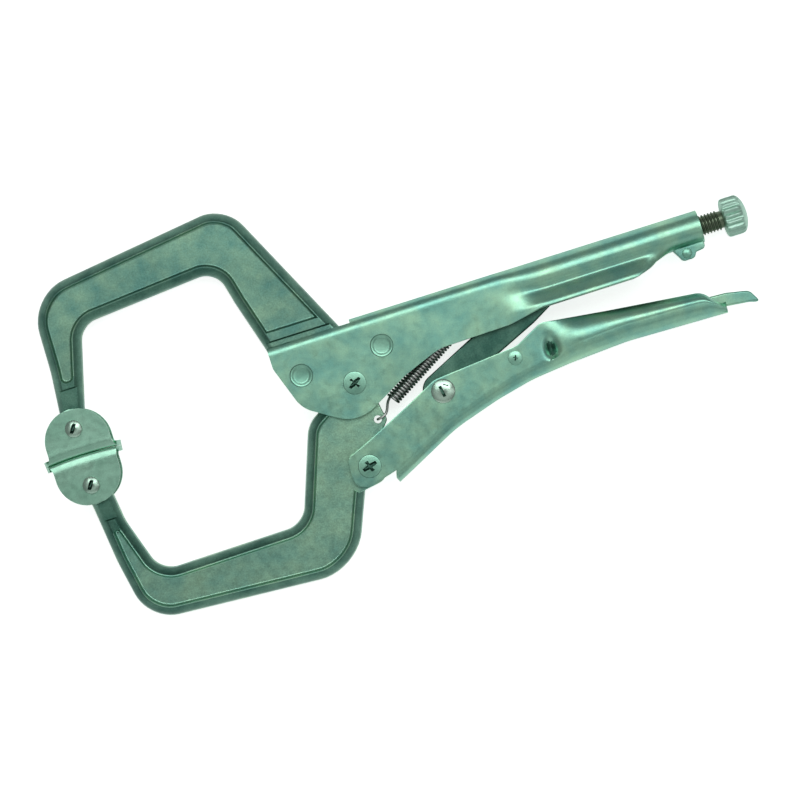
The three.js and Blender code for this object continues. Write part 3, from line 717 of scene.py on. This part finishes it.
sections = {}
upper_handle = pressed_sheet(200, BEND_ROWS + FLANK_ROWS, upper_form, upper_missing)
both_halves(upper_handle)
give_thickness(upper_handle, SHEET)
zinc_sheet = plated("zinc_sheet", (0.41, 0.74, 0.52), (0.24, 0.56, 0.46), 0.34, grain=0.35, wave=0.35)
for centre in (JAW_RIVET_FRONT, JAW_RIVET_REAR, (0, 0)):
    bore(upper_handle, centre, SINK_R)
finish(upper_handle, "upper_handle_pressing", "upper_frame", ["upper_handle"],
       [zinc_sheet], crease=38)

# ---- lower handle -------------------------------------------------------------------------
# A second pressed channel, open towards the screw. It is plain and narrow at the pivots, is
# crimped behind the release lever's rivet, and behind the crimp it swells to a rounded grip.

LOWER_END = (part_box("lower_handle")[1].x - jaw_pivot.x) / MM
CRIMP_X = 74
GRIP_BEND_R = 4.7
GRIP_BULGE = 5
LINK_PIVOT = from_pivot(joints["link_hinge"]["pos_m"])
LEVER_PIVOT = from_pivot(joints["lever_hinge"]["pos_m"])
NOSE_X = heel_x - 7.4
top_line = rounded_line([
    (NOSE_X, heel_y + 0.6), (NOSE_X + 0.3, heel_y + 5.2, 5), (-1.7, -22.4, 20), (15.9, -14.2, 30),
    (28.5, -7.9, 8), (62, -5, 8), (CRIMP_X - 1, 0.6, 3), (LOWER_END - 42, -2.7, 60),
    (LOWER_END - 7, -6.6, 7), (LOWER_END, -15.2),
])
base_line = rounded_line([
    (NOSE_X, heel_y + 0.6), (NOSE_X + 0.2, heel_y - 5.8, 6), (heel_x - 2, heel_y - 7.4, 5),
    (WEB_FRONT, -35.8),
])
web_line = rounded_line([(x, y, 60) for x, y in (
    (WEB_FRONT, -40.5), (11.4, -37.4), (31.2, -27.6), (49, -22.2), (64, -18.8), (80, -17.2),
    (LOWER_END - 39, -15.9), (LOWER_END, -16.9))])
LOWER_BEND_ROWS = 14
LOWER_FLANK_ROWS = 26
LEVER_RIVET_R = 2.0
DENT = (CRIMP_X, -9.8)
DENT_WIDE = 1.9
DENT_TALL = 3.4
DENT_DEEP = 2.8
# The patch round the crimp that is painted dark as shade.
DENT_PAINTED_SHADE = (1.5, 2.9)


def lower_x(u):
    """Columns crowd together at the rounded nose."""
    return NOSE_X + (LOWER_END - NOSE_X) * (u - 0.012 * (1 - math.exp(-u / 0.012)) * (1 - u))


def lower_form(u, v):
    x = lower_x(u)
    wide = smooth(x, CRIMP_X - 2, CRIMP_X + 12) * (1 - 0.4 * smooth(x, LOWER_END - 14, LOWER_END + 4))
    half = PLATE_OUT + (REST_HALF - PLATE_OUT) * wide
    top = height_at(top_line, x)
    web = height_at(web_line, x)
    bend_r = (GRIP_BEND_R + 1.6 * wide) * (1 - 0.6 * smooth(x, LOWER_END - 8, LOWER_END))
    row = v * (LOWER_BEND_ROWS + LOWER_FLANK_ROWS)
    if row < LOWER_BEND_ROWS - 0.5:
        bottom = [(web, 0), *arc((web + bend_r, half - bend_r), bend_r, 180, 90, 12)]
        y, z = along(bottom, row / LOWER_BEND_ROWS)
        return x, y, z
    base = height_at(base_line, x) if x < WEB_FRONT else web + bend_r
    share = (row - LOWER_BEND_ROWS) / LOWER_FLANK_ROWS
    y = base + max(top - base, 0.3) * share
    z = half - GRIP_BULGE * wide * (share - 0.15) ** 2
    dx, dy = (x - DENT[0]) / DENT_WIDE, (y - DENT[1]) / DENT_TALL
    z -= DENT_DEEP * math.exp(-(dx * dx + dy * dy))
    return x, y, z


def lower_missing(u, v):
    return lower_x(u) < WEB_FRONT and v * (LOWER_BEND_ROWS + LOWER_FLANK_ROWS) < LOWER_BEND_ROWS


lower_handle = pressed_sheet(210, LOWER_BEND_ROWS + LOWER_FLANK_ROWS, lower_form, lower_missing)
both_halves(lower_handle)
give_thickness(lower_handle, SHEET)
bore(lower_handle, HANDLE_PIVOT, SINK_R)
bore(lower_handle, LINK_PIVOT, PIVOT_R + BORE_ROOM)
bore(lower_handle, LEVER_PIVOT, LEVER_RIVET_R + BORE_ROOM)
lower_handle.data.materials.append(zinc_sheet)
lower_handle.data.materials.append(dark_forging_and_painted_shade)
# Painted shade: the faces in the crimp take the dark material, as shade in the dent.
for face in lower_handle.data.polygons:
    across = (face.center.x / MM - DENT[0]) / DENT_PAINTED_SHADE[0]
    down = (face.center.y / MM - DENT[1]) / DENT_PAINTED_SHADE[1]
    face.material_index = int(across * across + down * down < 1)
finish(lower_handle, "lower_handle_pressing", "handle", ["lower_handle"], [], crease=38)

# ---- swivel pads --------------------------------------------------------------------------
# Two round pads, each a disc of sheet with two sides bent up as ears that straddle the jaw
# tip. The bend is a full round, and the faces are very slightly bowed from the pressing.

PAD_R = 14.8
EAR_R = 12.2
EAR_OUT = 7.3
PAD_RISE = 11
PAD_GAP = 0.1
CROWN = 7.4
PAD_BOW = 0.8
PAD_RIVET_R = 2.4
PAD_RIVET_ROOM = 0.3


def pad_form(pivot, side):
    px, py = pivot
    face = py - side * (PAD_RISE - PAD_GAP / 2)
    ear_height = CROWN + PAD_RISE - PAD_GAP / 2
    section = rounded_line([(0, 0), (0, 6.2, 0.7), (0.6, 6.95, 1.0), (2.8, 7.36, 3.0), (5.2, EAR_OUT, 2.0),
                            (ear_height, EAR_OUT)], steps=7)

    def form(u, v):
        up, z = along(section, v)
        round_up = max(0, up - (ear_height - EAR_R))
        ear = math.sqrt(max(EAR_R * EAR_R - round_up * round_up, 0.04))
        disc = math.sqrt(PAD_R * PAD_R - z * z)
        half = disc + (ear - disc) * smooth(up, 0.4, 3.2)
        x = half * math.sin((u - 0.5) * math.pi)
        bow = PAD_BOW * (1 - (x / PAD_R) ** 2) * (1 - smooth(up, 0, 8))
        return px + x, face + side * up + bow, z

    return form


pad_zinc = plated("pad_zinc", (0.42, 0.74, 0.57), (0.34, 0.65, 0.49), 0.34, grain=0.25, wave=0.15)
for name, body, pivot, side in (("upper_pad", "pad_upper", UPPER_PAD, 1),
                                ("lower_pad", "pad_lower", LOWER_PAD, -1)):
    pad = pressed_sheet(48, 44, pad_form(pivot, side))
    both_halves(pad)
    give_thickness(pad, SHEET, edge=0.45)
    bore(pad, pivot, PAD_RIVET_R + PAD_RIVET_ROOM)
    finish(pad, name + "_pressing", body, [name], [pad_zinc], crease=38)

# ---- rivets -------------------------------------------------------------------------------
# Soft steel rivets, closed cold. The two that hold the fixed jaw are ground flush, the pivots
# are spread with a cross-shaped punch, and the link's and the pads' heads are left domed.


def turned(profile, centre, steps=48):
    """A round piece from (radius, height) points, turned about an upright axis."""
    deselect()
    x, y = centre
    bpy.ops.mesh.primitive_circle_add(vertices=len(profile), location=jaw_pivot + Vector((x, y, 0)) * MM)
    piece = bpy.context.object
    for vertex, (radius, rise) in zip(piece.data.vertices, profile):
        vertex.co = (radius * MM, 0, rise * MM)
    edit(piece)
    last = len(profile) - 1
    choose("EDGE", lambda e: {v.index for v in e.verts} == {0, last})
    bpy.ops.mesh.delete(type="EDGE")
    bpy.ops.mesh.select_all(action="SELECT")
    bpy.ops.mesh.spin(steps=steps, angle=2 * math.pi, center=piece.location, axis=(0, 0, 1))
    bpy.ops.mesh.select_all(action="SELECT")
    bpy.ops.mesh.remove_doubles(threshold=1e-6)
    bpy.ops.mesh.normals_make_consistent(inside=False)
    return piece


def rivet(centre, shank, head, seat, crown, lift):
    """A rivet with two heads, each rising from its seat to a crown."""
    dome = crown - seat - lift
    top = [(shank, seat), (head, seat), (head, seat + lift + 0.15 * dome)]
    top += [(head * r, seat + lift + dome * (0.2 + 0.8 * (1 - r * r)))
            for r in (0.96, 0.88, 0.75, 0.6, 0.4, 0.2)]
    top.append((0, crown))
    return turned([(r, -z) for r, z in reversed(top)] + top, centre)


def punch(piece, centre, top, marks, metal):
    """Chisel marks in both heads, each (turn in degrees, length, width, depth, aside). Their cut faces are
    painted dark as shade.
    """
    x, y = centre
    for material in (metal, dark_forging_and_painted_shade):
        piece.data.materials.append(material)
    for turn, length, width, depth, aside in marks:
        for face in (1, -1):
            deselect()
            turning = Matrix.Rotation(math.radians(turn), 3, "Z")
            spot = Vector((x, y, face * top)) + turning @ Vector((0, aside, 0))
            bpy.ops.mesh.primitive_cube_add(size=MM, location=jaw_pivot + spot * MM)
            chisel = bpy.context.object
            chisel.scale = (length, width, 2 * depth)
            chisel.rotation_euler = (0, 0, math.radians(turn))
            edit(chisel)
            choose("VERT", lambda v: v.co.z * face < 0)
            bpy.ops.transform.resize(value=(0.55, 0.25, 1), center_override=chisel.location)
            deselect()
            for material in (metal, dark_forging_and_painted_shade):
                chisel.data.materials.append(material)
            # Painted shade: the chisel's faces, and so the cut of each mark, take the dark material.
            for side in chisel.data.polygons:
                side.material_index = 1
            boolean(piece, chisel, "DIFFERENCE")


rivet_steel = plated("rivet_steel", (0.56, 0.76, 0.63), (0.40, 0.62, 0.50), 0.23, grain=0.2, wave=0.05)
flush_steel = plated("flush_steel", (0.38, 0.72, 0.54), (0.27, 0.60, 0.46), 0.34, grain=0.4, wave=0.2)
SINK = 1.3
for name, centre, proud in (("fixed_jaw_rivet_front", JAW_RIVET_FRONT, 0.0),
                            ("fixed_jaw_rivet_rear", JAW_RIVET_REAR, 0.05)):
    rim = PLATE_OUT + proud
    half = [(PIVOT_R, rim - SINK), (HEAD_R, rim - SINK), (HEAD_R, rim),
            (PIVOT_R + 0.6, rim + 0.12), (PIVOT_R, rim + 0.03), (PIVOT_R - 0.3, rim - 0.2),
            (PIVOT_R - 0.8, rim - 0.3), (0, rim - 0.32)]
    head = turned([(r, -z) for r, z in reversed(half)] + half, centre)
    finish(head, name + "_flush", "upper_frame", [name], [flush_steel])

pivot_head = rivet((0, 0), PIVOT_R, HEAD_R, PLATE_OUT - SINK, PLATE_OUT + 0.15, 1.2)
punch(pivot_head, (0, 0), PLATE_OUT + 0.3, [(38, 8.0, 1.6, 1.3, 0), (118, 7.0, 1.5, 1.3, 0)], flush_steel)
finish(pivot_head, "jaw_pivot_rivet_punched", "upper_frame", ["jaw_pivot_rivet"], [])

heel_head = rivet(HANDLE_PIVOT, PIVOT_R, HEAD_R, PLATE_OUT - SINK, PLATE_OUT + 0.2, 1.2)
punch(heel_head, HANDLE_PIVOT, PLATE_OUT + 0.3,
      [(22, 8.2, 2.0, 1.3, 0), (108, 7.2, 1.9, 1.3, 0)], flush_steel)
finish(heel_head, "handle_pivot_rivet_punched", "jaw", ["handle_pivot_rivet"], [])

link_head = rivet(LINK_PIVOT, PIVOT_R, PIVOT_R + 1.1, PLATE_OUT, PLATE_OUT + 1.5, 0.35)
punch(link_head, LINK_PIVOT, PLATE_OUT + 1.5,
      [(98, 7.6, 1.7, 1.5, 0.4), (140, 3.0, 1.0, 0.9, -2.4)], rivet_steel)
finish(link_head, "link_pivot_rivet_domed", "handle", ["link_pivot_rivet"], [])

lever_head = rivet(LEVER_PIVOT, LEVER_RIVET_R, 2.7, PLATE_OUT, PLATE_OUT + 0.9, 0.4)
punch(lever_head, LEVER_PIVOT, PLATE_OUT + 0.7,
      [(70, 3.0, 0.6, 0.8, 0), (150, 2.2, 0.5, 0.7, 0)], flush_steel)
finish(lever_head, "release_lever_rivet_punched", "handle", ["release_lever_rivet"], [])

for name, centre in (("upper_pad_rivet", UPPER_PAD), ("lower_pad_rivet", LOWER_PAD)):
    body = "upper_frame" if name == "upper_pad_rivet" else "jaw"
    dome = rivet(centre, PAD_RIVET_R, 3.2, EAR_OUT, REST_HALF - 0.02, 0.7)
    punch(dome, centre, REST_HALF - 0.3, [(60, 6.0, 1.5, 1.2, 0.2)], rivet_steel)
    finish(dome, name + "_domed", body, [name], [])

# ---- tube lip and its rivet ---------------------------------------------------------------
# Under the rear of the tube the two edges of the sheet meet in a short lip, and one small
# rivet through the lip keeps the roll closed on the screw.

LIP_HALF = 2.0
TUBE_RIVET = (TUBE_END - 7.7, SCREW_Y - TUBE_R - 2)
TUBE_RIVET_R = 1.2
lip_x, lip_y = TUBE_RIVET
lip = plate([(lip_x - 5.6, lip_y + 3.4, 1), (lip_x - 3.2, lip_y - 0.6, 2), (lip_x - 2.2, lip_y - 2.6, 2),
             (lip_x + 2.4, lip_y - 2.6, 2), (lip_x + 3.4, lip_y - 0.6, 1), (TUBE_END - 0.5, lip_y - 0.2, 1.5),
             (TUBE_END - 0.3, lip_y + 3.4, 1)], LIP_HALF, 0.4)
bore(lip, TUBE_RIVET, TUBE_RIVET_R + 0.1)
deselect()
lip.select_set(True)
bpy.context.view_layer.objects.active = lip
bpy.ops.object.transform_apply(location=True)
lip.name = "tube_lip"
lip.data.materials.append(zinc_sheet)
bpy.ops.object.shade_smooth_by_angle(angle=math.radians(32))
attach(lip, "upper_frame")
small = rivet(TUBE_RIVET, TUBE_RIVET_R, 1.8, LIP_HALF, LIP_HALF + 1.3, 0.8)
finish(small, "tube_rivet_domed", "upper_frame", ["tube_rivet"], [flush_steel])

# ---- toggle link --------------------------------------------------------------------------
# A forged strut inside the channel. Its round nose bears on the tip of the adjusting screw
# and locks the jaws when its two ends pass the handle pivot's line.

LINK_HALF = 2.8
LINK_END = (89, 14.8)
lx, ly = LINK_PIVOT
link_length = math.dist(LINK_PIVOT, LINK_END)
link_slope = Matrix.Rotation(math.atan2(LINK_END[1] - ly, LINK_END[0] - lx), 2)


def on_link(x, y, radius):
    spot = link_slope @ Vector((x, y)) + Vector(LINK_PIVOT)
    return spot.x, spot.y, radius


link = plate([on_link(*corner) for corner in (
    (-7.2, 7.6, 7), (link_length - 24, 7.4, 20), (link_length + 2.8, 2.8, 2.8),
    (link_length + 2.8, -2.8, 2.8), (link_length - 22, -4.4, 20), (22, -3.8, 6), (12, -5.8, 6),
    (-6.2, -5.8, 5.8))], LINK_HALF, 0.7)
bore(link, LINK_PIVOT, PIVOT_R + BORE_ROOM)
finish(link, "toggle_link_forging", "link", ["toggle_link"], [dark_forging_and_painted_shade])

# ---- release lever ------------------------------------------------------------------------
# A pressed lever on its own rivet inside the lower handle. Its nose lies under the toggle
# link, and its tail sticks out behind the handle to be squeezed.

LEVER_HALF = 3.5
LEVER_TAIL = (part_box("release_lever")[1].x - jaw_pivot.x) / MM
rx, ry = LEVER_PIVOT
lever = plate([
    (rx - 4, ry + 3.6, 3), (rx + 5, ry + 3.4, 3), (rx + 10, ry + 8, 1.6), (rx + 17, ry + 1.6, 6),
    (LOWER_END - 14, ry + 0.4, 10), (LOWER_END + 1.6, ry - 0.4, 10), (LEVER_TAIL - 3, ry - 2.2, 3),
    (LEVER_TAIL, ry - 7.6, 1.2), (LEVER_TAIL - 4, ry - 6.4, 3), (LOWER_END - 6, ry - 4.6, 10),
    (rx + 20, ry - 4, 10), (rx - 4, ry - 3.6, 3.4),
], LEVER_HALF, 0.7)
bore(lever, LEVER_PIVOT, LEVER_RIVET_R + BORE_ROOM)
finish(lever, "release_lever_pressing", "lever", ["release_lever"], [zinc_sheet])

# ---- jaw spring ---------------------------------------------------------------------------
# A close-wound steel spring that opens the jaws. One end hooks through the heel of the moving
# jaw and the other over a tab lanced from the upper handle.

SPRING_TAB = (58, 15.7)
COIL_R = 2.3
WIRE_R = 0.5
COIL_PITCH = 1.25
COIL_START = 9.5
COIL_ASIDE = 0.9
spring_from = Vector((*SPRING_HOLE, 0))
spring_to = Vector((*SPRING_TAB, 0))
spring_axis = (spring_to - spring_from).normalized()
spring_side = Vector((-spring_axis.y, spring_axis.x, 0))
coil_turns = int(((spring_to - spring_from).length - COIL_START - 8) / COIL_PITCH)


def coil(profile, pitch, turns, steps=20):
    """Winds a closed wire section, (radius, height) points, up the Z axis and caps its ends."""
    deselect()
    bpy.ops.mesh.primitive_circle_add(vertices=len(profile))
    piece = bpy.context.object
    for vertex, (radius, rise) in zip(piece.data.vertices, profile):
        vertex.co = (radius * MM, 0, rise * MM)
    apply_modifier(piece, "SCREW", angle=2 * math.pi, screw_offset=pitch * MM, iterations=turns, steps=steps,
                   render_steps=steps, axis="Z")
    edit(piece)
    bpy.ops.mesh.select_all(action="DESELECT")
    bpy.ops.mesh.select_mode(type="EDGE")
    bpy.ops.mesh.select_non_manifold()
    bpy.ops.mesh.edge_face_add()
    bpy.ops.mesh.select_all(action="SELECT")
    bpy.ops.mesh.normals_make_consistent(inside=False)
    deselect()
    return piece


def wire(points, radius):
    """A bent wire through the points, made a mesh."""
    curve = bpy.data.curves.new("wire", "CURVE")
    curve.dimensions = "3D"
    curve.bevel_depth = radius * MM
    curve.bevel_resolution = 2
    curve.use_fill_caps = True
    spline = curve.splines.new("NURBS")
    spline.points.add(len(points) - 1)
    for point, spot in zip(spline.points, points):
        point.co = (*(spot * MM), 1)
    spline.use_endpoint_u = True
    spline.order_u = 3
    spline.resolution_u = 6
    made = bpy.data.objects.new("wire", curve)
    bpy.context.scene.collection.objects.link(made)
    deselect()
    made.select_set(True)
    bpy.context.view_layer.objects.active = made
    bpy.ops.object.convert(target="MESH")
    return bpy.context.object


def on_spring(distance, aside=0.0, rise=0.0):
    return spring_from + spring_axis * distance + spring_side * aside + Vector((0, 0, rise))


wire_section = [(COIL_R + WIRE_R * math.cos(k * math.pi / 4), WIRE_R * math.sin(k * math.pi / 4))
                for k in range(8)]
spring = coil(wire_section, COIL_PITCH, coil_turns)
spring.rotation_mode = "QUATERNION"
spring.rotation_quaternion = spring_axis.to_track_quat("Z", "Y")
spring.location = on_spring(COIL_START, COIL_ASIDE) * MM
deselect()
spring.select_set(True)
bpy.ops.object.transform_apply(location=True, rotation=True)
coil_end = COIL_START + coil_turns * COIL_PITCH
front_hook = wire([on_spring(*place) for place in (
    (COIL_START + 0.3, 2.6, -0.6), (COIL_START - 0.2, 2.3, 1.6), (COIL_START - 2.2, 1.7, 3.4),
    (COIL_START - 5, -0.6, 5.1), (2.4, -0.9, 5.8), (0.6, -0.2, 5.6), (0.1, 0, 4.2), (0, 0, 1),
    (0, 0, -1.5))], WIRE_R)
rear_hook = wire([on_spring(*place) for place in (
    (coil_end, 2.5, -0.4), (coil_end + 0.8, 2.2, 1.2), (coil_end + 2, 0.4, 1.2),
    (coil_end + 4, 0, 0.4), (coil_end + 7, 0, 0))], WIRE_R)
deselect()
for piece in (spring, front_hook, rear_hook):
    piece.select_set(True)
bpy.context.view_layer.objects.active = spring
bpy.ops.object.join()
spring.data.transform(Matrix.Translation(jaw_pivot))

spring_steel, tree, shader, place = new_material("spring_steel")
bare = ramp(tree, noise(tree, place, 300, 4.0), [(0.3, (0.36, 0.39, 0.37)), (0.7, (0.60, 0.64, 0.61))])
tree.links.new(bare, shader.inputs["Base Color"])
shader.inputs["Metallic"].default_value = 1.0
shader.inputs["Roughness"].default_value = 0.3
drawn = tree.nodes.new("ShaderNodeBump")
drawn.inputs["Distance"].default_value = 0.01 * MM
drawn.inputs["Strength"].default_value = 0.4
tree.links.new(noise(tree, place, 2500), drawn.inputs["Height"])
tree.links.new(drawn.outputs["Normal"], shader.inputs["Normal"])
spring.name = "jaw_spring_wound"
spring.data.materials.append(spring_steel)
bpy.ops.object.shade_smooth()
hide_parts("jaw_spring")
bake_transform(spring)

# ---- adjusting screw ----------------------------------------------------------------------
# A turned steel screw with a rolled thread, coloured dark. Its rounded tip is the stop
# for the toggle link, and its rear end is pressed into the knob.

THREAD_R = 3.9
THREAD_PITCH = 1.25
ROOT_R = 3.25
SPIGOT_R = 2.5
screw_start = (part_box("adjusting_screw")[0].x - jaw_pivot.x) / MM
knob_low, knob_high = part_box("screw_knob")
knob_front = (knob_low.x - jaw_pivot.x) / MM
knob_length = (knob_high.x - knob_low.x) / MM
bare_length = knob_front - screw_start
thread_turns = int((bare_length - 3.5) / THREAD_PITCH)
core = turned([(0, 0), (1.6, 0.1), (2.6, 0.6), (ROOT_R, 1.4), (ROOT_R, bare_length - 0.3),
               (SPIGOT_R, bare_length - 0.3), (SPIGOT_R, bare_length + 6.4), (0, bare_length + 6.4)],
              (0, 0))
core.location = (0, 0, 0)
ridge = [(ROOT_R - 0.15, 0), (ROOT_R - 0.15, 1.1), (THREAD_R - 0.05, 0.68), (THREAD_R, 0.55),
         (THREAD_R - 0.05, 0.42)]
thread = coil(ridge, THREAD_PITCH, thread_turns, 32)
thread.location = (0, 0, 1.6 * MM)
deselect()
core.select_set(True)
thread.select_set(True)
bpy.context.view_layer.objects.active = core
bpy.ops.object.join()
along_screw = Matrix.Rotation(math.pi / 2, 4, "Y")
core.data.transform(Matrix.Translation(jaw_pivot + Vector((screw_start, SCREW_Y, 0)) * MM) @ along_screw)
screw_steel = plated("screw_steel", (0.20, 0.26, 0.18), (0.09, 0.13, 0.08), 0.38, grain=0.6, wave=0.02)
finish(core, "adjusting_screw_threaded", "screw", ["adjusting_screw"], [screw_steel])

# ---- knob ---------------------------------------------------------------------------------
# A die-cast knob with coarse flutes for the fingers and a domed end, pressed and glued on
# the screw.

KNOB_R = 7.5
FLUTES = 18
FLUTE_DEPTH = 0.8
PER_FLUTE = 10
knob = turned([(0, 0), (5.6, 0), (6.4, 0.15), (7.1, 0.55), (7.4, 1.0), (KNOB_R, 1.5),
               *((KNOB_R, 1.5 + (knob_length - 5) * k / 8) for k in range(1, 9)),
               *((KNOB_R * math.cos(a), knob_length - 3.5 + 3.5 * math.sin(a))
                 for a in (0.2, 0.4, 0.6, 0.8, 1.0, 1.2, 1.4)),
               (0, knob_length)], (0, 0), steps=FLUTES * PER_FLUTE)
knob.location = (0, 0, 0)
deselect()
for vertex in knob.data.vertices:
    turn = math.atan2(vertex.co.y, vertex.co.x)
    reach = (KNOB_R - FLUTE_DEPTH * (0.5 - 0.5 * math.cos(FLUTES * turn)) ** 1.1) * MM
    radius = vertex.co.xy.length
    if radius > reach:
        vertex.co.xy *= reach / radius
knob.data.transform(Matrix.Translation(jaw_pivot + Vector((knob_front, SCREW_Y, 0)) * MM) @ along_screw)
knob_zinc = plated("knob_zinc", (0.52, 0.80, 0.66), (0.40, 0.66, 0.54), 0.42, grain=0.8, wave=0.1)
finish(knob, "screw_knob_fluted", "knob", ["screw_knob"], [knob_zinc])
